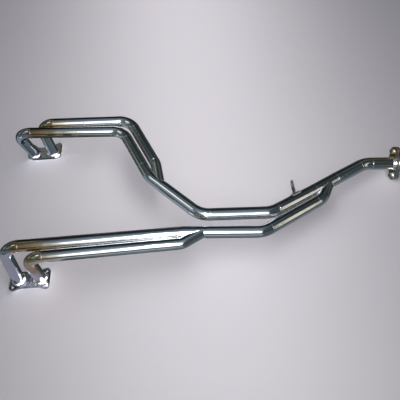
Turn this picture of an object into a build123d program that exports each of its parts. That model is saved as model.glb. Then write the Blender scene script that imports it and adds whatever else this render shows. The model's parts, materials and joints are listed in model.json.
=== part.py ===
"""Racing exhaust system: two 2-into-1 headers, a Y-joined rear section and a bolted outlet stub.

The system lies upside down on its two head flanges and the lower ears of its tail flanges.
Origin: centre of the right head flange's gasket face. +X runs along the gas flow to the tail,
+Y from the right bank to the left bank, +Z away from the floor. Millimetres, real size.
All the pipes after the head bends lie in one plane that falls towards the tail.
"""

from build123d import *

import os
from math import cos, radians, sin, tan

# Tube sizes: inch-series stainless tube, each size up slips over the one before.
PRIMARY_R = 19.05
SECONDARY_R = 20.65
TAIL_R = 22.25
PRIMARY_WALL = 1.6
SECONDARY_WALL = 1.5
TAIL_WALL = 1.5
BRANCH_R = 18.75
HOOK_R = 20.35

# Pipe plane.
FALL_DEG = 5.0
TAIL_X = 1314.0
TAIL_Y = 333.5

# Head flanges.
BANK_SPACING = 532.0
BANK_STAGGER = -12.0
FLANGE_T = 10.0
PORT_PITCH = 70.0
PORT_R = 17.45
PORT_LAND_R = 28.0
STUD_PITCH_X = 104.0
STUD_PITCH_Y = 48.0
STUD_EAR_R = 11.0
LEFT_STUD_SHIFT = 13.0
STUD_HOLE_R = 4.5

# Head bends.
HEAD_BEND_R = 44.0

# Slip joints.
SLIP_DEPTH = 45.0
SLIP_REVEAL = 2.0
SPIGOT_WALL = 1.5

# Tail flange pair and its hardware.
TAIL_BOLT_R = 45.0
TAIL_EAR_R = 16.0
TAIL_HUB_R = 29.0
TAIL_FLANGE_T = 9.0
TAIL_GASKET_T = 1.5
TAIL_CLOCK_DEG = 42.0
TAIL_BOLT_HOLE_R = 5.5
BOLT_SHANK_R = 5.0
BOLT_SHANK_L = 40.0
HEX_ACROSS_FLATS = 17.0
HEX_HEAD_H = 6.5
NUT_H = 8.0
WASHER_R = 10.0
WASHER_T = 2.0
COLLAR_R = 25.0
COLLAR_L = 7.0
STUB_L = 62.0
STUB_BEAD_R = 23.75
STUB_BEAD_L = 5.0

# Height of the tail axis, which puts the lower ears on the floor.
TAIL_Z = (TAIL_BOLT_R * sin(radians(TAIL_CLOCK_DEG)) + TAIL_EAR_R) * cos(radians(FALL_DEG))
TAIL_Z += (1.5 * TAIL_FLANGE_T + TAIL_GASKET_T) * sin(radians(FALL_DEG))

# Hanger.
HANGER_X = 904.0
HANGER_TIP_Y = 262.0
HANGER_T = 4.0
HANGER_W = 25.0
HANGER_EYE_R = 5.25
PAD_T = 3.0
PAD_L = 34.0
PAD_DEPTH = 11.0


def on_plane(x, y):
    """A point of the pipe plane above (x, y)."""
    return Vector(x, y, TAIL_Z + (TAIL_X - x) * tan(radians(FALL_DEG)))


def along(a, b, x):
    """The point at the given x on the line through a and b."""
    return a + (b - a) * ((x - a.X) / (b.X - a.X))


# Centre-line corners, in gas-flow order.
RIGHT_FRONT_PORT = Vector(-PORT_PITCH / 2, 0, 0)
RIGHT_REAR_PORT = Vector(PORT_PITCH / 2, 0, 0)
RIGHT_FRONT_TOP = on_plane(-36, 39)
RIGHT_REAR_TOP = on_plane(38, 2)
RIGHT_MERGE = on_plane(510, 70)
RIGHT_KICK = on_plane(502, 30.3)
RIGHT_BEND = on_plane(772, 63)
RIGHT_HOOK = on_plane(999, 183.8)

LEFT_FRONT_PORT = Vector(BANK_STAGGER - PORT_PITCH / 2, BANK_SPACING, 0)
LEFT_REAR_PORT = Vector(BANK_STAGGER + PORT_PITCH / 2, BANK_SPACING, 0)
LEFT_FRONT_TOP = on_plane(-61, 495)
LEFT_REAR_TOP = on_plane(14.5, 538)
LEFT_FRONT_ELBOW = on_plane(315, 502)
LEFT_REAR_ELBOW = on_plane(341, 553)
LEFT_MERGE = on_plane(406, 291.5)
LEFT_KICK = on_plane(430, 346.3)
LEFT_CORNER = on_plane(567, 133)
LEFT_BEND = on_plane(810, 134)
TAIL_CORNER = on_plane(1199, TAIL_Y)
TAIL_END = on_plane(TAIL_X, TAIL_Y)

# Where the pieces of the pipes meet.
RIGHT_FRONT_INLET = along(RIGHT_FRONT_TOP, RIGHT_MERGE, 484)
RIGHT_REAR_INLET = along(RIGHT_REAR_TOP, RIGHT_KICK, 484)
RIGHT_BRANCH_END = along(RIGHT_MERGE, RIGHT_BEND, 570)
RIGHT_OUTLET = along(RIGHT_MERGE, RIGHT_BEND, 580)
LEFT_FRONT_INLET = along(LEFT_FRONT_ELBOW, LEFT_MERGE, 385)
LEFT_REAR_INLET = along(LEFT_REAR_ELBOW, LEFT_KICK, 425.2)
LEFT_BRANCH_END = along(LEFT_MERGE, LEFT_CORNER, 439.5)
LEFT_OUTLET = along(LEFT_MERGE, LEFT_CORNER, 448.5)
Y_RIGHT_INLET = along(RIGHT_BEND, RIGHT_HOOK, 977)
Y_LEFT_INLET = along(LEFT_BEND, TAIL_CORNER, 981)
Y_OUTLET = along(LEFT_BEND, TAIL_CORNER, 1070)
Y_HOOK_END = along(LEFT_BEND, TAIL_CORNER, 1037.7)

# Bend radii, on the centre line.
RIGHT_BEND_R = 100.0
HOOK_BEND_R = 70.0
LEFT_ELBOW_R = 60.0
LEFT_CORNER_R = 80.0
LEFT_BEND_R = 110.0
TAIL_BEND_R = 110.0


def save(piece, name):
    """Label one piece and write its file."""
    piece.part.label = name
    export_step(piece.part, f"parts/{name}.step")


def facing(origin, direction):
    """A plane at origin that looks along direction."""
    return Plane(origin=origin, z_dir=direction)


def pipe(start, end, outer_r, wall):
    """One straight length of tube."""
    way = end - start
    with BuildPart() as straight:
        with BuildSketch(facing(start, way)):
            Circle(outer_r)
            Circle(outer_r - wall, mode=Mode.SUBTRACT)
        extrude(amount=way.length)
    return straight


def corner_points(before, corner, after, bend_r):
    """Where a bend of the given radius starts and ends at a corner."""
    back = (before - corner).normalized()
    ahead = (after - corner).normalized()
    half = radians(back.get_angle(ahead)) / 2
    reach = bend_r / tan(half)
    return corner + back * reach, corner + ahead * reach


def bent(points, bend_r, outer_r, wall):
    """One length of mandrel-bent tube along filleted straight lines."""
    with BuildPart() as tube:
        with BuildLine() as path:
            FilletPolyline(*points, radius=bend_r)
        with BuildSketch(facing(points[0], points[1] - points[0])):
            Circle(outer_r)
            Circle(outer_r - wall, mode=Mode.SUBTRACT)
        sweep(path=path.wires()[0])
    return tube


def elbow(before, corner, after, bend_r, outer_r, wall):
    """Only the curved part of a corner."""
    start, end = corner_points(before, corner, after, bend_r)
    with BuildPart() as tube:
        with BuildLine() as path:
            TangentArc(start, end, tangent=corner - before)
        with BuildSketch(facing(start, corner - before)):
            Circle(outer_r)
            Circle(outer_r - wall, mode=Mode.SUBTRACT)
        sweep(path=path.wires()[0])
    return tube


def head_flange(centre_x, centre_y, stud_shift=0.0):
    """Two-port plate: a land round each port, joined, with an ear out to each stud hole."""
    stud_y = centre_y + stud_shift
    with BuildPart() as plate:
        with BuildSketch() as outline:
            with Locations((centre_x, centre_y)):
                SlotCenterToCenter(PORT_PITCH, 2 * PORT_LAND_R)
            for side_x in (-1, 1):
                for side_y in (-1, 1):
                    with BuildSketch(mode=Mode.PRIVATE) as ear:
                        with Locations((centre_x + side_x * PORT_PITCH / 2, centre_y)):
                            Circle(PORT_LAND_R)
                        stud_x = centre_x + side_x * STUD_PITCH_X / 2
                        with Locations((stud_x, stud_y + side_y * STUD_PITCH_Y / 2)):
                            Circle(STUD_EAR_R)
                        make_hull()
                    add(ear.sketch)
            with Locations((centre_x, centre_y)):
                with GridLocations(PORT_PITCH, 0, 2, 1):
                    Circle(PORT_R, mode=Mode.SUBTRACT)
            with Locations((centre_x, stud_y)):
                with GridLocations(STUD_PITCH_X, STUD_PITCH_Y, 2, 2):
                    Circle(STUD_HOLE_R, mode=Mode.SUBTRACT)
        extrude(amount=FLANGE_T)
        rims = plate.faces().sort_by(Axis.Z)[-1].outer_wire().edges()
        chamfer(rims, 1.0)
    return plate


def head_bend(port, top, towards):
    """Tube from a port up to the pipe plane and round onto its run."""
    end = corner_points(port, top, towards, HEAD_BEND_R)[1]
    with BuildPart() as tube:
        with BuildLine() as path:
            FilletPolyline(port, top, end + (towards - top).normalized(), radius=HEAD_BEND_R)
        with BuildSketch(facing(port, top - port)):
            Circle(PRIMARY_R)
            Circle(PRIMARY_R - PRIMARY_WALL, mode=Mode.SUBTRACT)
        sweep(path=path.wires()[0])
        split(bisect_by=Plane.XY.offset(FLANGE_T), keep=Keep.TOP)
        split(bisect_by=facing(end, towards - top), keep=Keep.BOTTOM)
    return tube


def solid_run(points, bend_r, radius):
    """A solid rod along filleted lines, for joining and hollowing."""
    with BuildPart() as rod:
        with BuildLine() as path:
            FilletPolyline(*points, radius=bend_r)
        with BuildSketch(facing(points[0], points[1] - points[0])):
            Circle(radius)
        sweep(path=path.wires()[0])
    return rod


def merge(main_points, main_bend, branch_points, branch_bend):
    """Two primaries run together into one outlet."""
    main_out = solid_run(main_points, main_bend, PRIMARY_R)
    main_in = solid_run(main_points, main_bend, PRIMARY_R - PRIMARY_WALL)
    branch_out = solid_run(branch_points, branch_bend, BRANCH_R)
    branch_in = solid_run(branch_points, branch_bend, BRANCH_R - PRIMARY_WALL)
    with BuildPart() as joined:
        add(main_out.part)
        add(branch_out.part)
        add(main_in.part, mode=Mode.SUBTRACT)
        add(branch_in.part, mode=Mode.SUBTRACT)
    return joined


def y_merge():
    """The left secondary runs straight through; the right one hooks in from the side."""
    way = Y_OUTLET - Y_LEFT_INLET
    hook = [Y_RIGHT_INLET, RIGHT_HOOK, Y_HOOK_END]
    hook_out = solid_run(hook, HOOK_BEND_R, HOOK_R)
    hook_in = solid_run(hook, HOOK_BEND_R, HOOK_R - SECONDARY_WALL)
    with BuildPart() as joined:
        with BuildSketch(facing(Y_LEFT_INLET, way)):
            Circle(SECONDARY_R)
        with BuildSketch(facing(Y_OUTLET, way)):
            Circle(TAIL_R)
        loft()
        add(hook_out.part)
        with BuildSketch(facing(Y_LEFT_INLET, way)):
            Circle(SECONDARY_R - SECONDARY_WALL)
        with BuildSketch(facing(Y_OUTLET, way)):
            Circle(TAIL_R - TAIL_WALL)
        loft(mode=Mode.SUBTRACT)
        add(hook_in.part, mode=Mode.SUBTRACT)
    return joined


def tail_plane(offset):
    """A plane square to the tail pipe, offset along the gas flow from the tail flange's middle."""
    axis = Vector(cos(radians(FALL_DEG)), 0, -sin(radians(FALL_DEG)))
    middle = on_plane(TAIL_X, TAIL_Y)
    return Plane(origin=middle + axis * offset, x_dir=(0, 1, 0), z_dir=axis)


def tail_bolt_spots():
    """The two bolt centres as sketch coordinates of a tail plane."""
    clock = radians(TAIL_CLOCK_DEG)
    y = TAIL_BOLT_R * cos(clock)
    z = TAIL_BOLT_R * sin(clock)
    return [(y, z), (-y, -z)]


def two_ear_plate(low, thick, bore_r):
    """Two-ear outline from low, as thick as given, with its bolt holes and bore."""
    with BuildPart() as plate:
        with BuildSketch(tail_plane(low)):
            Circle(TAIL_HUB_R)
            for spot in tail_bolt_spots():
                with Locations(spot):
                    Circle(TAIL_EAR_R)
            make_hull()
            Circle(bore_r, mode=Mode.SUBTRACT)
            for spot in tail_bolt_spots():
                with Locations(spot):
                    Circle(TAIL_BOLT_HOLE_R, mode=Mode.SUBTRACT)
        extrude(amount=thick)
    return plate


def at_each_bolt(low, high, draw):
    """Extrude one drawn outline at both tail bolts, from low to high along the flow."""
    with BuildPart() as both:
        for spot in tail_bolt_spots():
            with BuildSketch(tail_plane(low)):
                with Locations(spot):
                    draw()
            extrude(amount=high - low)
    return both


def hexagon():
    """Outline of a bolt head."""
    RegularPolygon(HEX_ACROSS_FLATS / 2, 6, major_radius=False)


def shank_outline():
    """Outline of a bolt shank."""
    Circle(BOLT_SHANK_R)


def nut_outline():
    """Outline of a nut with its bore."""
    RegularPolygon(HEX_ACROSS_FLATS / 2, 6, major_radius=False)
    Circle(BOLT_SHANK_R + 0.05, mode=Mode.SUBTRACT)


def washer_outline():
    """Outline of a washer with its hole."""
    Circle(WASHER_R)
    Circle(BOLT_SHANK_R + 0.25, mode=Mode.SUBTRACT)


def tail_pipe_end():
    """Straight tail that ends inside its flange, one third of the way from the face."""
    start = corner_points(LEFT_BEND, TAIL_CORNER, TAIL_END, TAIL_BEND_R)[1]
    return pipe(start, tail_plane(TAIL_FLANGE_T / 6).origin, TAIL_R, TAIL_WALL)


def outlet_stub(low):
    """Short outlet with a rolled stop bead for whatever clamps over it."""
    with BuildPart() as stub:
        with BuildSketch(tail_plane(low)):
            Circle(TAIL_R)
        extrude(amount=STUB_L)
        with BuildSketch(tail_plane(low + STUB_BEAD_L * 3)):
            Circle(STUB_BEAD_R)
        extrude(amount=STUB_BEAD_L)
        rims = stub.edges().filter_by(GeomType.CIRCLE).filter_by(lambda e: e.radius > TAIL_R + 1)
        fillet(rims, 1.2)
        with BuildSketch(tail_plane(low)):
            Circle(TAIL_R - TAIL_WALL)
        extrude(amount=STUB_L, mode=Mode.SUBTRACT)
    return stub


def hanger_root():
    """The point of the left riser's axis level with the hanger."""
    return along(LEFT_BEND, TAIL_CORNER, HANGER_X)


def riser_sleeve(outer_r):
    """A solid rod round the left riser at the hanger."""
    way = (TAIL_CORNER - LEFT_BEND).normalized()
    start = along(LEFT_BEND, TAIL_CORNER, HANGER_X + 8) - way * PAD_L / 2
    with BuildPart() as rod:
        with BuildSketch(facing(start, way)):
            Circle(outer_r)
        extrude(amount=PAD_L)
    return rod


def hanger_tab():
    """Flat tab with a round eye, standing off the side of the left riser."""
    root = hanger_root()
    reach = HANGER_TIP_Y - root.Y
    side = Plane(origin=(HANGER_X - HANGER_T / 2, root.Y, root.Z), x_dir=(0, 1, 0), z_dir=(1, 0, 0))
    with BuildPart() as tab:
        with BuildSketch(side) as outline:
            with Locations((reach / 2, 0)):
                Rectangle(reach, HANGER_W)
            fillet(outline.vertices().sort_by(Axis.X)[-2:], 11)
            with Locations((reach - 16, 0)):
                Circle(HANGER_EYE_R, mode=Mode.SUBTRACT)
        extrude(amount=HANGER_T)
        add(riser_sleeve(SECONDARY_R + PAD_T).part, mode=Mode.SUBTRACT)
    return tab


def hanger_pad():
    """Saddle that spreads the tab's load over the side of the tube."""
    way = (TAIL_CORNER - LEFT_BEND).normalized()
    square = Vector(-way.Y, way.X, 0).normalized()
    cut = hanger_root() + square * PAD_DEPTH
    with BuildPart() as pad:
        add(riser_sleeve(SECONDARY_R + PAD_T).part)
        add(riser_sleeve(SECONDARY_R).part, mode=Mode.SUBTRACT)
        split(bisect_by=facing(cut, square), keep=Keep.TOP)
    return pad


def primary_run(port, top, end):
    """Straight primary from its head bend to the given end."""
    start = corner_points(port, top, end, HEAD_BEND_R)[1]
    return pipe(start, end, PRIMARY_R, PRIMARY_WALL)


def spigot(outlet, way):
    """The tube end that slides into the rear section."""
    return pipe(outlet, outlet + way * (SLIP_REVEAL + SLIP_DEPTH), PRIMARY_R, SPIGOT_WALL)


def right_header():
    """Bank nearest -Y: long straight primaries."""
    front_end = RIGHT_FRONT_INLET
    rear_end = RIGHT_REAR_INLET
    way = (RIGHT_BEND - RIGHT_MERGE).normalized()
    save(head_flange(0, 0), "right_head_flange")
    save(head_bend(RIGHT_FRONT_PORT, RIGHT_FRONT_TOP, front_end), "right_front_primary_bend")
    save(primary_run(RIGHT_FRONT_PORT, RIGHT_FRONT_TOP, front_end), "right_front_primary_run")
    save(head_bend(RIGHT_REAR_PORT, RIGHT_REAR_TOP, rear_end), "right_rear_primary_bend")
    save(primary_run(RIGHT_REAR_PORT, RIGHT_REAR_TOP, rear_end), "right_rear_primary_run")
    main = [RIGHT_FRONT_INLET, RIGHT_MERGE, RIGHT_OUTLET]
    branch = [RIGHT_REAR_INLET, RIGHT_KICK, RIGHT_BRANCH_END]
    save(merge(main, 120, branch, 60), "right_collector")
    save(spigot(RIGHT_OUTLET, way), "right_slip_spigot")


def left_header():
    """Bank nearest +Y: primaries crank across towards the middle."""
    way = (LEFT_CORNER - LEFT_MERGE).normalized()
    save(head_flange(BANK_STAGGER, BANK_SPACING, LEFT_STUD_SHIFT), "left_head_flange")
    rows = [
        ("left_front_primary", LEFT_FRONT_PORT, LEFT_FRONT_TOP, LEFT_FRONT_ELBOW, LEFT_FRONT_INLET),
        ("left_rear_primary", LEFT_REAR_PORT, LEFT_REAR_TOP, LEFT_REAR_ELBOW, LEFT_REAR_INLET),
    ]
    for name, port, top, corner, inlet in rows:
        run_end, drop_start = corner_points(top, corner, inlet, LEFT_ELBOW_R)
        save(head_bend(port, top, corner), name + "_bend")
        save(primary_run(port, top, run_end), name + "_run")
        save(elbow(top, corner, inlet, LEFT_ELBOW_R, PRIMARY_R, PRIMARY_WALL), name + "_elbow")
        save(pipe(drop_start, inlet, PRIMARY_R, PRIMARY_WALL), name + "_drop")
    main = [LEFT_FRONT_INLET, LEFT_MERGE, LEFT_OUTLET]
    branch = [LEFT_REAR_INLET, LEFT_KICK, LEFT_BRANCH_END]
    save(merge(main, 90, branch, 50), "left_collector")
    save(spigot(LEFT_OUTLET, way), "left_slip_spigot")


def right_secondary():
    """Right collector to the Y."""
    mouth = RIGHT_OUTLET + (RIGHT_BEND - RIGHT_MERGE).normalized() * SLIP_REVEAL
    bend_start, bend_end = corner_points(mouth, RIGHT_BEND, RIGHT_HOOK, RIGHT_BEND_R)
    save(pipe(mouth, bend_start, SECONDARY_R, SECONDARY_WALL), "right_secondary_run")
    bend = elbow(mouth, RIGHT_BEND, RIGHT_HOOK, RIGHT_BEND_R, SECONDARY_R, SECONDARY_WALL)
    save(bend, "right_secondary_bend")
    save(pipe(bend_end, Y_RIGHT_INLET, SECONDARY_R, SECONDARY_WALL), "right_secondary_riser")


def left_secondary():
    """Left collector to the Y."""
    mouth = LEFT_OUTLET + (LEFT_CORNER - LEFT_MERGE).normalized() * SLIP_REVEAL
    corner_start, corner_end = corner_points(mouth, LEFT_CORNER, LEFT_BEND, LEFT_CORNER_R)
    bend_start, bend_end = corner_points(LEFT_CORNER, LEFT_BEND, TAIL_CORNER, LEFT_BEND_R)
    save(pipe(mouth, corner_start, SECONDARY_R, SECONDARY_WALL), "left_secondary_drop")
    corner = elbow(mouth, LEFT_CORNER, LEFT_BEND, LEFT_CORNER_R, SECONDARY_R, SECONDARY_WALL)
    save(corner, "left_secondary_elbow")
    save(pipe(corner_end, bend_start, SECONDARY_R, SECONDARY_WALL), "left_secondary_run")
    bend = elbow(LEFT_CORNER, LEFT_BEND, TAIL_CORNER, LEFT_BEND_R, SECONDARY_R, SECONDARY_WALL)
    save(bend, "left_secondary_bend")
    save(pipe(bend_end, Y_LEFT_INLET, SECONDARY_R, SECONDARY_WALL), "left_secondary_riser")
    save(hanger_tab(), "hanger_tab")
    save(hanger_pad(), "hanger_pad")


def tail():
    """Y, tail pipe and the flange welded on its end behind a collar."""
    bend_start = corner_points(LEFT_BEND, TAIL_CORNER, TAIL_END, TAIL_BEND_R)[0]
    save(y_merge(), "y_collector")
    save(pipe(Y_OUTLET, bend_start, TAIL_R, TAIL_WALL), "tail_pipe_riser")
    save(elbow(LEFT_BEND, TAIL_CORNER, TAIL_END, TAIL_BEND_R, TAIL_R, TAIL_WALL), "tail_pipe_bend")
    save(tail_pipe_end(), "tail_pipe_end")
    with BuildPart() as collar:
        with BuildSketch(tail_plane(-TAIL_FLANGE_T / 2 - COLLAR_L)):
            Circle(COLLAR_R)
            Circle(TAIL_R, mode=Mode.SUBTRACT)
        extrude(amount=COLLAR_L)
        chamfer(collar.faces().sort_by(Axis.X)[0].outer_wire().edges(), 1.5)
    save(collar, "tail_collar")
    save(two_ear_plate(-TAIL_FLANGE_T / 2, TAIL_FLANGE_T, TAIL_R), "tail_flange")


def outlet():
    """Gasket, outlet flange and stub, bolted to the tail flange."""
    gasket_low = TAIL_FLANGE_T / 2
    plate_low = gasket_low + TAIL_GASKET_T
    plate_high = plate_low + TAIL_FLANGE_T
    save(two_ear_plate(gasket_low, TAIL_GASKET_T, TAIL_R), "tail_gasket")
    save(two_ear_plate(plate_low, TAIL_FLANGE_T, TAIL_R), "outlet_flange")
    save(outlet_stub(plate_low + TAIL_FLANGE_T / 3), "outlet_stub")
    with BuildPart() as washers:
        for low in (-TAIL_FLANGE_T / 2 - WASHER_T, plate_high):
            add(at_each_bolt(low, low + WASHER_T, washer_outline).part)
    save(washers, "tail_flange_washers")
    head = -TAIL_FLANGE_T / 2 - WASHER_T
    with BuildPart() as bolts:
        add(at_each_bolt(head - HEX_HEAD_H, head, hexagon).part)
        add(at_each_bolt(head, head + BOLT_SHANK_L, shank_outline).part)
        tips = bolts.edges().filter_by(GeomType.CIRCLE).sort_by(Axis.X)[-2:]
        chamfer(tips, 1.0)
    save(bolts, "tail_flange_bolts")
    nut_face = plate_high + WASHER_T
    save(at_each_bolt(nut_face, nut_face + NUT_H, nut_outline), "tail_flange_nuts")


os.makedirs("parts", exist_ok=True)
right_header()
left_header()
right_secondary()
left_secondary()
tail()
outlet()
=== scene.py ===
"""Racing exhaust system: looks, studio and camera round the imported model. Metres, +Z up."""

import json
from math import cos, pi, radians, sin, sqrt

import bmesh
import bpy
import numpy as np
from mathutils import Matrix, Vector


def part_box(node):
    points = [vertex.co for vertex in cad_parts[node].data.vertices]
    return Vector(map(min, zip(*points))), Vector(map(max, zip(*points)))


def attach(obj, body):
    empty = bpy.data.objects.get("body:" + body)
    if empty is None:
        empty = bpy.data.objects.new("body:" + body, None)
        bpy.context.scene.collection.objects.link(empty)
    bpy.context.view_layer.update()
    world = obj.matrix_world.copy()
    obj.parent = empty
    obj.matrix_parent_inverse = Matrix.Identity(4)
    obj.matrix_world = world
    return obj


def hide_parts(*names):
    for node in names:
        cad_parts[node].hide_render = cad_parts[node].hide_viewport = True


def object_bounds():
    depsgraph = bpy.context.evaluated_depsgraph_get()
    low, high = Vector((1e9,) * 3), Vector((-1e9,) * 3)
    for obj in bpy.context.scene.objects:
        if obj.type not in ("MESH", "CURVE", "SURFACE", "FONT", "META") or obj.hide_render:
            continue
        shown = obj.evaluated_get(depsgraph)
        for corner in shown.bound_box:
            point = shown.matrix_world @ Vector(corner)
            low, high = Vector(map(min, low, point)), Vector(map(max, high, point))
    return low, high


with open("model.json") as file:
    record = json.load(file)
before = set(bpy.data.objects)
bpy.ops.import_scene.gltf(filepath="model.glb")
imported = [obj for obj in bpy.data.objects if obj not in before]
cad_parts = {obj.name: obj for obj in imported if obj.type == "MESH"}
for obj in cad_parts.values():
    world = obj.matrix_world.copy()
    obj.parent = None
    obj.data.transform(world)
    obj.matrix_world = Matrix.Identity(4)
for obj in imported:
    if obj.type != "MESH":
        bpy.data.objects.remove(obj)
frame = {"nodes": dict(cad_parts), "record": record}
cad_low, cad_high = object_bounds()
MM = 0.001
FULL_TURN = 360

# ---------------------------------------------------------------- node trees


def srgb(r, g, b):
    """A colour given as 0-255 display values, in linear light."""
    def one(c):
        c = c / 255
        return c / 12.92 if c <= 0.04045 else ((c + 0.055) / 1.055) ** 2.4
    return (one(r), one(g), one(b), 1.0)


def grey(value):
    """A neutral colour in linear light."""
    return (value, value, value, 1.0)


class Nodes:
    """A short way to write a node tree."""

    def __init__(self, tree):
        self.tree = tree

    def add(self, kind, **settings):
        node = self.tree.nodes.new(kind)
        for name, value in settings.items():
            setattr(node, name, value)
        return node

    def put(self, target, value):
        """Link an output, or set a plain value."""
        if isinstance(value, bpy.types.NodeSocket):
            self.tree.links.new(value, target)
        else:
            target.default_value = value

    def math(self, operation, a, b=0.0):
        node = self.add("ShaderNodeMath", operation=operation)
        self.put(node.inputs[0], a)
        self.put(node.inputs[1], b)
        return node.outputs[0]

    def vector(self, operation, a, b=(0, 0, 0)):
        node = self.add("ShaderNodeVectorMath", operation=operation)
        self.put(node.inputs[0], a)
        self.put(node.inputs[1], b)
        kind = "Value" if operation in ("DOT_PRODUCT", "LENGTH") else "Vector"
        return node.outputs[kind]

    def span(self, value, low, high, to_low=0.0, to_high=1.0):
        """A smooth step from one range to another."""
        node = self.add("ShaderNodeMapRange", interpolation_type="SMOOTHSTEP")
        ends = {"From Min": low, "From Max": high, "To Min": to_low, "To Max": to_high}
        self.put(node.inputs["Value"], value)
        for name, end in ends.items():
            self.put(node.inputs[name], end)
        return node.outputs["Result"]

    def mix(self, share, a, b, blend="MIX"):
        node = self.add("ShaderNodeMix", data_type="RGBA", blend_type=blend)
        self.put(node.inputs["Factor"], share)
        self.put(node.inputs[6], a)
        self.put(node.inputs[7], b)
        return node.outputs[2]

    def ramp(self, value, stops):
        node = self.add("ShaderNodeValToRGB")
        elements = node.color_ramp.elements
        while len(elements) < len(stops):
            elements.new(0.5)
        for element, (place, colour) in zip(elements, stops):
            element.position = place
            element.color = colour
        self.put(node.inputs["Fac"], value)
        return node.outputs["Color"]

    def split(self, vector):
        node = self.add("ShaderNodeSeparateXYZ")
        self.put(node.inputs[0], vector)
        return node.outputs

    def noise(self, place, scale, detail=2.0, roughness=0.5, stretch=None):
        """Noise from 0 to 1, at scale features a metre, stretched where a vector is given."""
        if stretch:
            place = self.vector("MULTIPLY", place, stretch)
        node = self.add("ShaderNodeTexNoise")
        self.put(node.inputs["Vector"], place)
        node.inputs["Scale"].default_value = scale
        node.inputs["Detail"].default_value = detail
        node.inputs["Roughness"].default_value = roughness
        return node.outputs["Fac"]

    def bump(self, height, distance, under=None):
        node = self.add("ShaderNodeBump")
        node.inputs["Strength"].default_value = 1.0
        node.inputs["Distance"].default_value = distance
        self.put(node.inputs["Height"], height)
        if under:
            self.put(node.inputs["Normal"], under)
        return node.outputs["Normal"]


def surface(name):
    """A new material, its node helper, its shader and its object coordinates."""
    material = bpy.data.materials.new(name)
    material.use_nodes = True
    n = Nodes(material.node_tree)
    shader = material.node_tree.nodes["Principled BSDF"]
    place = n.add("ShaderNodeTexCoord").outputs["Object"]
    return material, n, shader.inputs, place


# ---------------------------------------------------------------- studio

CAMERA_PLACE = (0.5057, -0.5748, 1.2954)
CAMERA_TILT = (radians(33), 0, radians(-5))
CAMERA_LENS = 37.8
SENSOR_WIDTH = 36.0
FLOOR_SIZE = 24.0
FLOOR_COLOUR = srgb(196, 194, 200)
ROOM_COLOUR = srgb(132, 132, 138)

# The surround that only the reflections see, fitted to the reference's reflections: colours by
# angle in the YZ plane. 0 is level behind the object (+Y), 90 is overhead, 180 is level behind the camera
# and 270 is straight down.
STUDIO_ROUND = [
    (0, srgb(38, 42, 42)),
    (32, srgb(26, 30, 32)),
    (54, srgb(50, 58, 62)),
    (60, srgb(92, 106, 116)),
    (84, srgb(104, 122, 136)),
    (97, srgb(118, 136, 152)),
    (101, srgb(196, 206, 214)),
    (105, srgb(88, 102, 112)),
    (115, srgb(104, 118, 128)),
    (117, srgb(255, 255, 255)),
    (151, srgb(255, 255, 255)),
    (154, srgb(136, 138, 136)),
    (163, srgb(56, 58, 60)),
    (176, srgb(84, 88, 90)),
    (182, srgb(188, 194, 198)),
    (192, srgb(160, 168, 174)),
    (201, srgb(104, 116, 122)),
    (216, srgb(92, 112, 122)),
    (242, srgb(112, 126, 130)),
    (254, srgb(34, 40, 42)),
    (272, srgb(70, 80, 80)),
    (310, srgb(50, 56, 56)),
    (345, srgb(72, 80, 80)),
    (359, srgb(38, 42, 42)),
]
# The same, for directions well to the left or right.
SIDE_ROUND = [
    (0, srgb(48, 54, 54)),
    (50, srgb(78, 84, 78)),
    (62, srgb(40, 46, 46)),
    (100, srgb(64, 74, 80)),
    (150, srgb(46, 54, 58)),
    (180, srgb(92, 98, 100)),
    (196, srgb(50, 60, 64)),
    (225, srgb(92, 104, 112)),
    (255, srgb(118, 130, 138)),
    (275, srgb(96, 104, 108)),
    (300, srgb(50, 56, 54)),
    (359, srgb(48, 54, 54)),
]
# The long overhead strip: its edges in degrees round, its strength, and how it dims to the left (-X).
STRIP_START = (115, 118)
STRIP_END = (153, 150)
STRIP_GAIN = 2.2
STRIP_DIMMING = (-0.13, 0.0)
STRIP_LEFT_COLOUR = srgb(158, 148, 130)
# A slight warmth over the left of the middle band.
WARMING = (-0.06, -0.19)
WARM_COLOUR = srgb(198, 188, 172)
# Where the middle band gives way to the sides, by the x of the direction, and the left side's gain.
RIGHT_SIDE = (0.36, 0.46)
LEFT_SIDE = (-0.30, -0.40)
LEFT_SIDE_GAIN = 1.7
LEFT_SIDE_GAIN_SPAN = (0.0, -0.1)
# The long warm panel along the risers: their direction, where round them it hangs, its extent along and
# across them, and its colour.
RISER_WAY = (0.88, 0.47, -0.08)
RISER_PANEL = (0.434, -0.715, 0.548)
RISER_FAR_END = (0.635, 0.53)
RISER_NEAR_END = (0.42, 0.53)
RISER_EDGE = (0.745, 0.79)
RISER_COLOUR = srgb(228, 220, 204)
# Smaller lamps and panels: direction, colour, how strong, and the cosines where each starts and is full.
PANELS = [
    ((-0.46, -0.03, 0.885), srgb(250, 250, 248), 2.8, 0.983, 0.990),
    ((-0.68, -0.35, 0.64), srgb(140, 148, 146), 0.7, 0.95, 0.98),
    ((-0.93, 0.10, 0.25), srgb(150, 152, 140), 0.8, 0.985, 0.993),
    ((-0.30, 0.62, 0.72), srgb(150, 152, 140), 0.8, 0.990, 0.996),
    ((-0.75, -0.55, -0.35), srgb(230, 234, 240), 1.0, 0.986, 0.995),
]
CARD_DEPTH = 1 * MM
HEAD_CARD = ((-0.5, -0.5), (0.10, -0.02), srgb(156, 156, 168))
OVERHEAD_PLACE = (0.60, 0.8, 0.85)
OVERHEAD_AIM = (0.60, 0.8, 0)
OVERHEAD_SIZE = (0.35, 3.6)
OVERHEAD_WATTS = 20
OVERHEAD_COLOUR = srgb(255, 252, 250)
KEY_PLACE = (0.62, -0.55, 1.30)
KEY_AIM = (0.5, 0.05, 0.1)
KEY_SIZE = (0.12, 0.09)
KEY_WATTS = 170
KEY_COLOUR = srgb(255, 255, 255)


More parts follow.
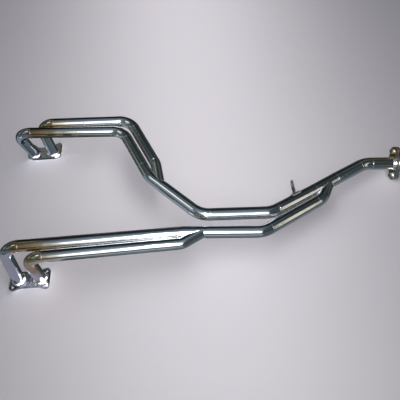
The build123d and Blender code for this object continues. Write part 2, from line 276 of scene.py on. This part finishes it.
def make_camera():
    """The camera, above and in front of the right bank."""
    data = bpy.data.cameras.new("camera")
    data.lens = CAMERA_LENS
    data.sensor_width = SENSOR_WIDTH
    camera = bpy.data.objects.new("camera", data)
    camera.location = CAMERA_PLACE
    camera.rotation_euler = CAMERA_TILT
    bpy.context.scene.collection.objects.link(camera)
    bpy.context.scene.camera = camera


def make_floor():
    """A plain pale floor."""
    half = FLOOR_SIZE / 2
    mesh = bpy.data.meshes.new("floor")
    corners = [(-half, -half, 0), (half, -half, 0), (half, half, 0), (-half, half, 0)]
    mesh.from_pydata(corners, [], [(0, 1, 2, 3)])
    floor = bpy.data.objects.new("floor", mesh)
    bpy.context.scene.collection.objects.link(floor)
    material, _, shader, _ = surface("floor")
    shader["Base Color"].default_value = FLOOR_COLOUR
    shader["Roughness"].default_value = 0.95
    shader["Specular IOR Level"].default_value = 0.1
    mesh.materials.append(material)
    floor.visible_glossy = False


def make_world():
    """Even grey light for the floor, and the banded surround for glossy rays alone."""
    world = bpy.data.worlds.new("studio")
    bpy.context.scene.world = world
    world.use_nodes = True
    n = Nodes(world.node_tree)
    background = world.node_tree.nodes["Background"]
    way = n.add("ShaderNodeTexCoord").outputs["Generated"]
    x, y, z = n.split(way)
    turn = n.math("DIVIDE", n.math("ARCTAN2", z, y), 2 * pi)
    turn = n.math("FRACT", n.math("ADD", turn, 1.0))
    middle = n.ramp(turn, [(degrees / FULL_TURN, colour) for degrees, colour in STUDIO_ROUND])
    strip_start = n.span(turn, *(degrees / FULL_TURN for degrees in STRIP_START))
    strip_end = n.span(turn, *(degrees / FULL_TURN for degrees in STRIP_END))
    glow = n.mix(n.span(x, *STRIP_DIMMING), STRIP_LEFT_COLOUR, grey(STRIP_GAIN))
    middle = n.mix(n.math("MULTIPLY", strip_start, strip_end), middle, glow)
    warmed = n.mix(1.0, middle, WARM_COLOUR, "MULTIPLY")
    middle = n.mix(n.span(x, *WARMING), middle, warmed)
    sides = n.ramp(turn, [(degrees / FULL_TURN, colour) for degrees, colour in SIDE_ROUND])
    brighter = n.mix(1.0, sides, grey(LEFT_SIDE_GAIN), "MULTIPLY")
    sides = n.mix(n.span(x, *LEFT_SIDE_GAIN_SPAN), sides, brighter)
    sideways = n.math("MAXIMUM", n.span(x, *RIGHT_SIDE), n.span(x, *LEFT_SIDE))
    studio = n.mix(sideways, middle, sides)
    lengthwise = n.vector("DOT_PRODUCT", way, RISER_WAY)
    across = n.vector("DOT_PRODUCT", way, RISER_PANEL)
    panel = n.math("MULTIPLY", n.span(lengthwise, *RISER_FAR_END), n.span(lengthwise, *RISER_NEAR_END))
    panel = n.math("MULTIPLY", panel, n.span(across, *RISER_EDGE))
    studio = n.mix(panel, studio, RISER_COLOUR)
    for direction, colour, strength, start, full in PANELS:
        unit = tuple(Vector(direction).normalized())
        share = n.span(n.vector("DOT_PRODUCT", way, unit), start, full, 0.0, strength)
        studio = n.mix(1.0, studio, n.mix(share, grey(0.0), colour), "ADD")
    seen = n.add("ShaderNodeLightPath").outputs["Is Glossy Ray"]
    n.put(background.inputs["Color"], n.mix(seen, ROOM_COLOUR, studio))
    background.inputs["Strength"].default_value = 1.0


def make_card(name, low, high, colour):
    """A glowing card just under the floor that only the reflections show."""
    mesh = bpy.data.meshes.new(name)
    corners = [(x, y, 0) for x, y in (low, (high[0], low[1]), high, (low[0], high[1]))]
    mesh.from_pydata(corners, [], [(0, 1, 2, 3)])
    card = bpy.data.objects.new(name, mesh)
    card.location.z = -CARD_DEPTH
    bpy.context.scene.collection.objects.link(card)
    material = bpy.data.materials.new(name)
    material.use_nodes = True
    n = Nodes(material.node_tree)
    glow = n.add("ShaderNodeEmission")
    glow.inputs["Color"].default_value = colour
    n.put(material.node_tree.nodes["Material Output"].inputs["Surface"], glow.outputs["Emission"])
    mesh.materials.append(material)
    card.visible_camera = False
    card.visible_diffuse = False
    card.visible_shadow = False
    card.visible_transmission = False


def make_lamp(name, place, aim, size, watts, colour, diffuse=True, glossy=True, shadow=True):
    """A soft rectangular lamp."""
    data = bpy.data.lights.new(name, "AREA")
    data.shape = "RECTANGLE"
    data.size, data.size_y = size
    data.energy = watts
    data.color = colour[:3]
    data.use_shadow = shadow
    lamp = bpy.data.objects.new(name, data)
    lamp.location = place
    lamp.rotation_euler = (Vector(aim) - Vector(place)).to_track_quat("-Z", "Y").to_euler()
    lamp.visible_diffuse = diffuse
    lamp.visible_glossy = glossy
    lamp.visible_camera = False
    bpy.context.scene.collection.objects.link(lamp)


# ---------------------------------------------------------------- materials

TAIL_MIDDLE = Vector((1.314, 0.3335, 0.04724))
FALL = radians(5)
TAIL_AXIS = Vector((cos(FALL), 0, -sin(FALL)))
TAIL_ACROSS = Vector((0, 1, 0))
TAIL_UPWARD = TAIL_AXIS.cross(TAIL_ACROSS)
# The tail pipe's wall, where its soot begins, where heat tints the primaries, and where a painted warm
# reflection lies over the tail.
SOOT_EDGE = (21.7 * MM, 21.1 * MM)
HEAT_REACH = (-0.06, 0.34)
HEAT_RISE = 0.55
TAIL_PAINTED_REFLECTION_X = (1.16, 1.23)
TAIL_PAINTED_REFLECTION_Y = (0.30, 0.36)


def heat_tint_and_painted_reflection(n, place, clean):
    """The colours that heat leaves on stainless steel near the heads, fading along the primaries, with a
    painted warm reflection over the tail bend.
    """
    x, y, z = n.split(place)
    cloud = n.noise(place, scale=22.0, detail=3.0)
    fine = n.noise(place, scale=90.0, detail=2.0, stretch=(0.4, 1.0, 1.0))
    way = n.math("ADD", x, n.math("MULTIPLY", z, HEAT_RISE))
    way = n.math("ADD", way, n.math("MULTIPLY", n.math("SUBTRACT", cloud, 0.5), 0.05))
    way = n.math("ADD", way, n.math("MULTIPLY", n.math("SUBTRACT", fine, 0.5), 0.02))
    tint = n.ramp(n.span(way, *HEAT_REACH), [
        (0.0, srgb(214, 218, 232)),
        (0.26, srgb(222, 220, 224)),
        (0.34, srgb(196, 172, 144)),
        (0.42, srgb(214, 186, 148)),
        (0.56, srgb(236, 218, 188)),
        (0.76, srgb(244, 240, 232)),
        (1.0, srgb(255, 255, 255)),
    ])
    # Painted reflection: a warm amber patch over the tail bend, growing towards +X and towards the pipe's
    # +Y side.
    tail = n.math("MULTIPLY", n.span(x, *TAIL_PAINTED_REFLECTION_X), n.span(y, *TAIL_PAINTED_REFLECTION_Y))
    tint = n.mix(n.math("MULTIPLY", tail, 0.75), tint, srgb(240, 200, 140))
    return n.mix(1.0, clean, tint, "MULTIPLY")


def polished_tube(name="polished_tube", soot=False):
    """Mirror-polished stainless tube: faint waves, polishing hairlines, haze, heat tint and a painted warm
    reflection over the tail bend.
    """
    material, n, shader, place = surface(name)
    patch = n.noise(place, scale=14.0, detail=3.0)
    clean = n.mix(patch, srgb(226, 230, 234), srgb(238, 238, 238))
    colour = heat_tint_and_painted_reflection(n, place, clean)
    haze = n.noise(place, scale=45.0, detail=4.0, roughness=0.6)
    hairlines = n.noise(place, scale=900.0, detail=2.0, stretch=(0.05, 1.0, 1.0))
    rough = n.math("ADD", n.span(haze, 0.45, 0.75, 0.02, 0.07), n.math("MULTIPLY", hairlines, 0.02))
    waves = n.noise(place, scale=60.0, detail=1.0, stretch=(0.35, 1.0, 1.0))
    normal = n.bump(waves, distance=0.0003)
    normal = n.bump(hairlines, distance=0.000012, under=normal)
    shader["Coat Weight"].default_value = 0.35
    shader["Coat Roughness"].default_value = 0.25
    metallic = 1.0
    if soot:
        offset = n.vector("SUBTRACT", place, tuple(TAIL_MIDDLE))
        lengthwise = n.vector("DOT_PRODUCT", offset, tuple(TAIL_AXIS))
        reach = n.vector("LENGTH", offset)
        squares = n.math("MULTIPLY", reach, reach), n.math("MULTIPLY", lengthwise, lengthwise)
        radius = n.math("SQRT", n.math("SUBTRACT", *squares))
        inside = n.span(radius, *SOOT_EDGE)
        grime = n.noise(place, scale=260.0, detail=4.0, roughness=0.6)
        colour = n.mix(inside, colour, n.ramp(grime, [(0.35, srgb(30, 27, 25)), (0.7, srgb(74, 64, 55))]))
        rough = n.math("MAXIMUM", rough, n.math("MULTIPLY", inside, 0.85))
        metallic = n.math("SUBTRACT", 1.0, inside)
        normal = n.bump(n.math("MULTIPLY", grime, inside), distance=0.0003, under=normal)
    n.put(shader["Base Color"], colour)
    n.put(shader["Metallic"], metallic)
    n.put(shader["Roughness"], rough)
    n.put(shader["Normal"], normal)
    return material


def flange_plate():
    """Milled plate with fine lay and scratches, polished over, with heat tint and a painted warm
    reflection at the tail.
    """
    material, n, shader, place = surface("flange_plate")
    lay = n.noise(place, scale=1400.0, detail=2.0, stretch=(1.0, 0.03, 1.0))
    cloud = n.noise(place, scale=60.0, detail=4.0, roughness=0.6)
    colour = n.mix(n.span(cloud, 0.3, 0.7), srgb(176, 178, 180), srgb(222, 222, 220))
    colour = heat_tint_and_painted_reflection(n, place, colour)
    scratches = n.noise(place, scale=500.0, detail=3.0, roughness=0.7, stretch=(0.15, 1.0, 1.0))
    scratches = n.span(scratches, 0.62, 0.72)
    rough = n.math("ADD", n.span(cloud, 0.35, 0.7, 0.12, 0.26), n.math("MULTIPLY", scratches, 0.1))
    normal = n.bump(lay, distance=0.00003)
    normal = n.bump(scratches, distance=0.00002, under=normal)
    n.put(shader["Base Color"], colour)
    n.put(shader["Metallic"], 1.0)
    n.put(shader["Roughness"], rough)
    n.put(shader["Normal"], normal)
    return material


def bracket():
    """Satin stainless strip."""
    material, n, shader, place = surface("bracket")
    grain = n.noise(place, scale=1100.0, detail=3.0, roughness=0.6, stretch=(1.0, 0.04, 1.0))
    cloud = n.noise(place, scale=70.0, detail=3.0)
    colour = n.mix(cloud, srgb(168, 170, 172), srgb(204, 204, 202))
    n.put(shader["Base Color"], colour)
    n.put(shader["Metallic"], 1.0)
    n.put(shader["Roughness"], n.span(grain, 0.3, 0.7, 0.2, 0.34))
    n.put(shader["Normal"], n.bump(grain, distance=0.00004))
    return material


def weld_metal():
    """Bright weld metal clouded with straw and blue."""
    material, n, shader, place = surface("weld_metal")
    cloud = n.noise(place, scale=160.0, detail=3.0)
    colour = n.ramp(cloud, [
        (0.3, srgb(196, 184, 168)),
        (0.5, srgb(232, 230, 226)),
        (0.72, srgb(190, 196, 208)),
    ])
    grit = n.noise(place, scale=1500.0, detail=3.0, roughness=0.6)
    n.put(shader["Base Color"], colour)
    n.put(shader["Metallic"], 1.0)
    n.put(shader["Roughness"], n.span(grit, 0.3, 0.7, 0.16, 0.3))
    n.put(shader["Normal"], n.bump(grit, distance=0.00003))
    return material


def hardware():
    """Zinc-plated steel with a faint yellow passivate and dark specks."""
    material, n, shader, place = surface("hardware")
    cloud = n.noise(place, scale=240.0, detail=4.0, roughness=0.6)
    colour = n.ramp(cloud, [
        (0.3, srgb(196, 186, 158)),
        (0.5, srgb(206, 202, 190)),
        (0.7, srgb(184, 190, 196)),
    ])
    speck = n.span(n.noise(place, scale=1200.0, detail=3.0, roughness=0.65), 0.6, 0.72)
    n.put(shader["Base Color"], n.mix(n.math("MULTIPLY", speck, 0.4), colour, srgb(120, 112, 100)))
    n.put(shader["Metallic"], 1.0)
    rough = n.math("ADD", n.span(cloud, 0.3, 0.7, 0.2, 0.32), n.math("MULTIPLY", speck, 0.15))
    n.put(shader["Roughness"], rough)
    n.put(shader["Normal"], n.bump(cloud, distance=0.00008))
    return material


def gasket():
    """Pressed graphite fibre sheet."""
    material, n, shader, place = surface("gasket")
    fibre = n.noise(place, scale=900.0, detail=5.0, roughness=0.7)
    n.put(shader["Base Color"], n.ramp(fibre, [(0.35, srgb(34, 34, 36)), (0.65, srgb(78, 76, 76))]))
    n.put(shader["Roughness"], n.span(fibre, 0.3, 0.7, 0.6, 0.85))
    n.put(shader["Normal"], n.bump(fibre, distance=0.0003))
    return material


# ---------------------------------------------------------------- meshes


def make_piece(name, points, faces, material, body, smooth=40):
    """A finished piece of the object: mesh, material, slot and the body that it rides on."""
    mesh = bpy.data.meshes.new(name)
    kept = [[min(max(v, low), high) for v, low, high in zip(p, cad_low, cad_high)] for p in points]
    mesh.from_pydata(kept, [], faces)
    bm = bmesh.new()
    bm.from_mesh(mesh)
    bmesh.ops.recalc_face_normals(bm, faces=bm.faces)
    bm.to_mesh(mesh)
    bm.free()
    mesh.materials.append(material)
    mesh.shade_smooth()
    mesh.set_sharp_from_angle(angle=radians(smooth))
    piece = bpy.data.objects.new(name, mesh)
    bpy.context.scene.collection.objects.link(piece)
    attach(piece, body)
    return piece


def grid_faces(rows, columns, close_rows=False):
    """Quads between rows of a grid whose columns go all the way round."""
    faces = []
    for r in range(rows if close_rows else rows - 1):
        for c in range(columns):
            d = (c + 1) % columns
            a = r * columns
            b = (r + 1) % rows * columns
            faces.append((a + c, a + d, b + d, b + c))
    return faces


def lathe(rows, spot, closed=False):
    """Points and faces of a turned shape along the tail axis. rows holds (height, radius) pairs, where the
    radius is a function of the angle. Its ends are capped, unless it is closed on itself like a ring."""
    columns = ROUND
    points = []
    for height, radius in rows:
        for c in range(columns):
            angle = 2 * pi * c / columns
            r = radius(angle)
            spoke = TAIL_ACROSS * cos(angle) + TAIL_UPWARD * sin(angle)
            points.append(spot + TAIL_AXIS * height + spoke * r)
    faces = grid_faces(len(rows), columns, close_rows=closed)
    if not closed:
        faces.append(tuple(reversed(range(columns))))
        last = (len(rows) - 1) * columns
        faces.append(tuple(range(last, last + columns)))
    return points, faces


def joined(shapes):
    """Several shapes as one list of points and faces."""
    points, faces = [], []
    for more_points, more_faces in shapes:
        start = len(points)
        points.extend(more_points)
        faces.extend(tuple(start + i for i in face) for face in more_faces)
    return points, faces


# Tail hardware, the sizes of its CAD nodes.
BOLT_CIRCLE = 45 * MM
CLOCK = radians(42)
PLATE_T = 9 * MM
GASKET_T = 1.5 * MM
WASHER_T = 2 * MM
WASHER_R = 10 * MM
HEX_FLAT = 8.5 * MM
HEAD_H = 6.5 * MM
NUT_H = 8 * MM
SHANK_R = 5 * MM
SHANK_L = 40 * MM
THREAD_START = 17 * MM
THREAD_PITCH = 1.5 * MM
THREAD_DEPTH = 0.55 * MM
THREAD_STEPS = 6
END_CHAMFER = 1.0 * MM
CHAMFER_SLOPE = 1.9
HEAD_DISH = 0.25 * MM
HEAD_DISH_R = HEX_FLAT * 0.5
HEAD_TOP_R = HEX_FLAT * 0.62
HEAD_CHAMFER = (0.02 * MM, 0.2 * MM, 0.4 * MM, 0.6 * MM, 0.8 * MM)
WASHER_FACE_R = HEX_FLAT * 0.97
WASHER_FACE_H = 0.4 * MM
WASHER_FACE_STEP = 0.1 * MM
UNDERCUT = 0.01 * MM
NUT_CHAMFER = (0.02 * MM, 0.25 * MM, 0.5 * MM, 0.75 * MM)
NUT_FACE_R = HEX_FLAT * 0.95
NUT_SINK = 0.6 * MM
NUT_GAP = 0.05 * MM
WASHER_GAP = 0.25 * MM
WASHER_EDGE = 0.25 * MM
ROUND = 72


def bolt_spots():
    """The two bolt axes' points beside the tail flange's middle."""
    out = TAIL_ACROSS * (BOLT_CIRCLE * cos(CLOCK)) + TAIL_UPWARD * (BOLT_CIRCLE * sin(CLOCK))
    return [TAIL_MIDDLE + out, TAIL_MIDDLE - out]


def hexagon(angle):
    """Distance from the middle to the side of a hexagon."""
    part = (angle % (pi / 3)) - pi / 6
    return HEX_FLAT / cos(part)


def chamfered(depth):
    """Hexagon cut by the cone that chamfers its corners, at a depth from its face."""
    cone = HEX_FLAT + depth * CHAMFER_SLOPE
    return lambda angle: min(hexagon(angle), cone)


def bolt_shape(spot):
    """A hexagon-headed bolt: chamfered head, washer face, plain shank and thread."""
    seat = -PLATE_T / 2 - WASHER_T
    top = seat - HEAD_H
    rows = [(top + HEAD_DISH, lambda a: HEAD_DISH_R), (top, lambda a: HEAD_TOP_R)]
    rows += [(top + depth, chamfered(depth)) for depth in HEAD_CHAMFER]
    rows.append((seat - WASHER_FACE_H - WASHER_FACE_STEP, hexagon))
    rows += [(seat - WASHER_FACE_H, lambda a: WASHER_FACE_R), (seat, lambda a: WASHER_FACE_R)]
    rows += [(seat + UNDERCUT, lambda a: SHANK_R), (seat + THREAD_START, lambda a: SHANK_R)]
    length = SHANK_L - THREAD_START - END_CHAMFER
    count = int(length / THREAD_PITCH * THREAD_STEPS)
    for i in range(1, count + 1):
        z = length * i / count
        fade = min(1.0, i / THREAD_STEPS)

        def thread(angle, z=z, fade=fade):
            phase = (z / THREAD_PITCH - angle / (2 * pi)) % 1.0
            return SHANK_R - THREAD_DEPTH * fade * (1 - abs(2 * phase - 1))
        rows.append((seat + THREAD_START + z, thread))
    rows.append((seat + SHANK_L, lambda a: SHANK_R - END_CHAMFER))
    return lathe(rows, spot)


def nut_shape(spot):
    """A hexagon nut chamfered on both faces, with a countersunk bore."""
    low = PLATE_T / 2 + GASKET_T + PLATE_T + WASHER_T
    high = low + NUT_H
    rows = [(low, lambda a: SHANK_R + NUT_SINK), (low, lambda a: NUT_FACE_R)]
    rows += [(low + depth, chamfered(depth)) for depth in NUT_CHAMFER]
    rows += [(high - depth, chamfered(depth)) for depth in reversed(NUT_CHAMFER)]
    rows += [(high, lambda a: NUT_FACE_R), (high, lambda a: SHANK_R + NUT_SINK)]
    rows += [(high - NUT_SINK, lambda a: SHANK_R + NUT_GAP), (low + NUT_SINK, lambda a: SHANK_R + NUT_GAP)]
    return lathe(rows, spot, closed=True)


def washer_shape(spot, low):
    """A flat washer with bevelled edges."""
    bore = SHANK_R + WASHER_GAP
    high = low + WASHER_T
    rows = [
        (low, bore + WASHER_EDGE),
        (low, WASHER_R - WASHER_EDGE),
        (low + WASHER_EDGE, WASHER_R),
        (high - WASHER_EDGE, WASHER_R),
        (high, WASHER_R - WASHER_EDGE),
        (high, bore + WASHER_EDGE),
        (high - WASHER_EDGE, bore),
        (low + WASHER_EDGE, bore),
    ]
    return lathe([(z, lambda a, r=r: r) for z, r in rows], spot, closed=True)


def make_hardware(material):
    """Bolts, nuts and washers of the tail flange, in place of their CAD nodes."""
    low_washer = -PLATE_T / 2 - WASHER_T
    high_washer = PLATE_T / 2 + GASKET_T + PLATE_T
    spots = bolt_spots()
    washers = [washer_shape(spot, z) for spot in spots for z in (low_washer, high_washer)]
    kinds = {
        "bolt": ("tail_flange_bolts", [bolt_shape(s) for s in spots]),
        "nut": ("tail_flange_nuts", [nut_shape(s) for s in spots]),
        "washer": ("tail_flange_washers", washers),
    }
    for kind, (node, shapes) in kinds.items():
        points, faces = joined(shapes)
        piece = make_piece(f"tail_{kind}s_detail", points, faces, material, "rear_section", 28)
        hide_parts(node)


# ---------------------------------------------------------------- welds

BEAD_HEIGHT = 0.45 * MM
BEAD_WIDTH = 4.0 * MM
RIPPLE = 1.3 * MM
FILLET_LEG = 4.6 * MM
CREASE_R = 1.7 * MM
COLUMNS_PER_RIPPLE = 4
BEAD_PROFILE = (-1.0, -0.75, -0.4, 0.0, 0.4, 0.75, 1.0)
BEAD_ROOT = 0.15 * MM
FILLET_RIPPLES = 84
FILLET_ROWS = 9
RIM_DEPTH = 0.2 * MM
MERGE_DISTANCE = 2e-6
CREASE_ANGLE = -0.3
SHORTEST_CREASE = 8 * MM
CREASE_STEP = 0.7 * MM
CREASE_SMOOTHING = 6
CREASE_TAPER = 6


def node_points(name):
    """A CAD node's vertices."""
    mesh = frame["nodes"][name].data
    points = np.zeros(len(mesh.vertices) * 3)
    mesh.vertices.foreach_get("co", points)
    return points.reshape(-1, 3)


def tube_end(name, far):
    """Middle, axis and outer radius of one end of a straight tube. far is the end along the gas flow."""
    points = node_points(name)
    middle = points.mean(0)
    axis = np.linalg.svd(points - middle, full_matrices=False)[2][0]
    axis = axis if axis[0] > 0 else -axis
    reach = (points - middle) @ axis
    edge = reach.max() if far else reach.min()
    rim = points[np.abs(reach - edge) < RIM_DEPTH]
    centre = (rim.max(0) + rim.min(0)) / 2
    radius = np.linalg.norm(rim - centre, axis=1).max()
    return Vector(centre), Vector(axis), radius


def seam_bead(name, node, share, body, material):
    """A low rippled weld bead round a straight tube, at a share of its length along the gas flow."""
    start, axis, radius = tube_end(node, False)
    centre = start.lerp(tube_end(node, True)[0], share)
    across = axis.orthogonal().normalized()
    other = axis.cross(across)
    count = int(2 * pi * radius / RIPPLE)
    columns = count * COLUMNS_PER_RIPPLE
    points = []
    for p in BEAD_PROFILE:
        for c in range(columns):
            angle = 2 * pi * c / columns
            ripple = abs(sin(angle * count / 2))
            wander = 0.2 * MM * sin(angle * 3 + radius * 900) + 0.12 * MM * sin(angle * 11)
            lag = 0.5 * MM * (1 - p * p) * ripple
            crown = BEAD_HEIGHT * (0.75 + 0.25 * ripple) + BEAD_ROOT
            height = -BEAD_ROOT + crown * sqrt(max(0.0, 1 - p * p))
            spoke = across * cos(angle) + other * sin(angle)
            along = p * BEAD_WIDTH / 2 + wander + lag * 0.3
            points.append(centre + axis * along + spoke * (radius + height))
    faces = grid_faces(len(BEAD_PROFILE), columns)
    make_piece(name, points, faces, material, body, 60)


# Each port's place, and how far from it the top corner of its head bend's centre line is, in millimetres.
HEAD_TOPS = {
    "right_front_primary_bend": ((-35, 0), (-1, 39, 165.4)),
    "right_rear_primary_bend": ((35, 0), (3, 2, 158.9)),
    "left_front_primary_bend": ((-47, 532), (-14, -37, 167.5)),
    "left_rear_primary_bend": ((23, 532), (-8.5, 6, 160.9)),
}
TUBE_R = 19.05 * MM


def base_fillet(node, port, top, body, material):
    """The rippled fillet weld between a head bend and its flange."""
    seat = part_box(node)[0].z
    lean = Vector((top[0], top[1], 0)) / top[2]
    slope = sqrt(1 + lean.length_squared)
    foot = Vector((port[0] * MM, port[1] * MM, seat)) + lean * seat
    columns = FILLET_RIPPLES * COLUMNS_PER_RIPPLE
    points = []
    for r in range(FILLET_ROWS):
        share = r / (FILLET_ROWS - 1)
        for c in range(columns):
            angle = 2 * pi * c / columns
            ripple = abs(sin(angle * FILLET_RIPPLES / 2 + 0.5 * share))
            leg = FILLET_LEG * (1 + 0.06 * sin(3 * angle) + 0.05 * sin(7 * angle + 1))
            swell = leg * (0.10 + 0.07 * ripple) * sin(pi * share)
            height = leg * (1 - share) + swell - 0.1 * MM
            out = leg * share + swell - 0.2 * MM * (1 - share)
            spoke = Vector((cos(angle), sin(angle), 0))
            along = spoke.dot(lean.normalized())
            reach = TUBE_R * (1 + (slope - 1) * along * along) + out
            points.append(foot + lean * height + spoke * reach + Vector((0, 0, height)))
    faces = grid_faces(FILLET_ROWS, columns)
    make_piece(f"weld_{node}", points, faces, material, body, 60)


def crease_lines(node):
    """The inside corners on a node's outer skin, each as a smooth evenly spaced line of points."""
    bm = bmesh.new()
    bm.from_mesh(frame["nodes"][node].data)
    bmesh.ops.remove_doubles(bm, verts=bm.verts, dist=MERGE_DISTANCE)
    inner = [e for e in bm.edges if len(e.link_faces) == 2]
    inward = [e for e in inner if e.calc_face_angle_signed(0) < CREASE_ANGLE]
    around = {}
    for e in inward:
        for v in e.verts:
            around.setdefault(v, []).append(e)
    left = set(inward)
    lines = []
    while left:
        ends = [v for v in around if len([e for e in around[v] if e in left]) == 1]
        here = min(ends or [e.verts[0] for e in left], key=lambda v: tuple(v.co))
        line = [here.co.copy()]
        while True:
            step = next((e for e in around[here] if e in left), None)
            if step is None:
                break
            left.discard(step)
            here = step.other_vert(here)
            line.append(here.co.copy())
        if sum((q - p).length for p, q in zip(line, line[1:])) > SHORTEST_CREASE:
            lines.append(even(line, CREASE_STEP))
    bm.free()
    return lines


def even(line, spacing):
    """The same line with its points a spacing apart, smoothed."""
    reach = [0.0]
    for p, q in zip(line, line[1:]):
        reach.append(reach[-1] + (q - p).length)
    count = max(4, int(reach[-1] / spacing))
    table = np.array([tuple(p) for p in line])
    marks = np.linspace(0, reach[-1], count)
    points = np.stack([np.interp(marks, reach, table[:, i]) for i in range(3)], 1)
    for _ in range(CREASE_SMOOTHING):
        points[1:-1] = (points[:-2] + points[1:-1] * 2 + points[2:]) / 4
    return [Vector(p) for p in points]


def crease_beads(node, body, material):
    """Rippled weld beads along a junction's inside corners."""
    shapes = []
    for line in crease_lines(node):
        count = len(line)
        radii = []
        for i in range(count):
            taper = min(1.0, (min(i, count - 1 - i) + 1) / CREASE_TAPER)
            radii.append(CREASE_R * sqrt(taper) * (0.82 + 0.18 * abs(sin(i * pi / 4))))
        shapes.append(sweep(line, radii))
    points, faces = joined(shapes)
    make_piece(f"weld_{node}", points, faces, material, body, 60)


def sweep(path, radii, sides=10):
    """Points and faces of a tube along a line of points, closed at its ends."""
    points = []
    count = len(path)
    side = None
    for i, p in enumerate(path):
        tangent = (path[min(i + 1, count - 1)] - path[max(i - 1, 0)]).normalized()
        if side is None:
            side = tangent.orthogonal().normalized()
        else:
            side = (side - tangent * side.dot(tangent)).normalized()
        other = tangent.cross(side)
        for c in range(sides):
            angle = 2 * pi * c / sides
            points.append(p + (side * cos(angle) + other * sin(angle)) * radii[i])
    faces = grid_faces(count, sides)
    faces.append(tuple(reversed(range(sides))))
    faces.append(tuple(range((count - 1) * sides, count * sides)))
    return points, faces


# Butt welds: the straight tube, and where along it.
SEAMS = {
    "right_header": [
        ("right_front_primary_run", 0.0), ("right_front_primary_run", 1.0),
        ("right_rear_primary_run", 0.0), ("right_rear_primary_run", 1.0),
    ],
    "left_header": [
        ("left_front_primary_run", 0.0), ("left_front_primary_run", 0.56), ("left_front_primary_run", 1.0),
        ("left_rear_primary_run", 0.0), ("left_rear_primary_run", 0.46), ("left_rear_primary_run", 1.0),
        ("left_front_primary_drop", 0.0), ("left_front_primary_drop", 1.0),
        ("left_rear_primary_drop", 0.0), ("left_rear_primary_drop", 1.0),
    ],
    "rear_section": [
        ("right_secondary_run", 1.0), ("right_secondary_riser", 0.0), ("right_secondary_riser", 1.0),
        ("left_secondary_drop", 1.0), ("left_secondary_run", 0.0), ("left_secondary_run", 1.0),
        ("left_secondary_riser", 0.0), ("left_secondary_riser", 1.0),
        ("tail_pipe_riser", 0.0), ("tail_pipe_riser", 1.0), ("tail_pipe_end", 0.0),
    ],
}
JUNCTIONS = {
    "right_collector": "right_header",
    "left_collector": "left_header",
    "y_collector": "rear_section",
}
SOOTY_NODES = ("outlet_stub", "tail_pipe_end")
# The CAD nodes with rounded edges, and the rounding's width in millimetres.
SOFTENED = {
    "right_head_flange": 0.8, "left_head_flange": 0.8, "tail_flange": 0.7, "outlet_flange": 0.7,
    "hanger_tab": 0.5, "hanger_pad": 0.4, "tail_collar": 0.4,
}


def soften(node, width):
    """Rounded edges on a CAD node, by modifiers."""
    weld = node.modifiers.new("weld", "WELD")
    weld.merge_threshold = MERGE_DISTANCE
    bevel = node.modifiers.new("bevel", "BEVEL")
    bevel.width = width * MM
    bevel.segments = 2
    bevel.limit_method = "ANGLE"
    bevel.angle_limit = radians(35)
    bevel.harden_normals = True


make_camera()
make_floor()
make_world()
bpy.context.scene.view_settings.view_transform = "Standard"
make_card("head_card", *HEAD_CARD)
make_lamp(
    "overhead", OVERHEAD_PLACE, OVERHEAD_AIM, OVERHEAD_SIZE, OVERHEAD_WATTS, OVERHEAD_COLOUR,
    glossy=False, shadow=False,
)
make_lamp("key", KEY_PLACE, KEY_AIM, KEY_SIZE, KEY_WATTS, KEY_COLOUR, diffuse=False)

steel = polished_tube()
sooty = polished_tube("polished_tube_sooty", soot=True)
looks = {
    "polished_tube": steel,
    "flange_plate": flange_plate(),
    "bracket": bracket(),
    "hardware": hardware(),
    "gasket": gasket(),
}
slots = {row["node"]: row["material_slot"] for row in frame["record"]["subparts"]}
for name, node in frame["nodes"].items():
    material = sooty if name in SOOTY_NODES else looks[slots[name]]
    node.data.materials.clear()
    node.data.materials.append(material)
make_hardware(looks["hardware"])
beads = weld_metal()
for body, places in SEAMS.items():
    for number, (node, share) in enumerate(places):
        seam_bead(f"seam_{node}_{number}", node, share, body, steel)
for node, (port, top) in HEAD_TOPS.items():
    header = "right_header" if node.startswith("right") else "left_header"
    base_fillet(node, port, top, header, beads)
for node, body in JUNCTIONS.items():
    crease_beads(node, body, beads)
for name, width in SOFTENED.items():
    soften(frame["nodes"][name], width)
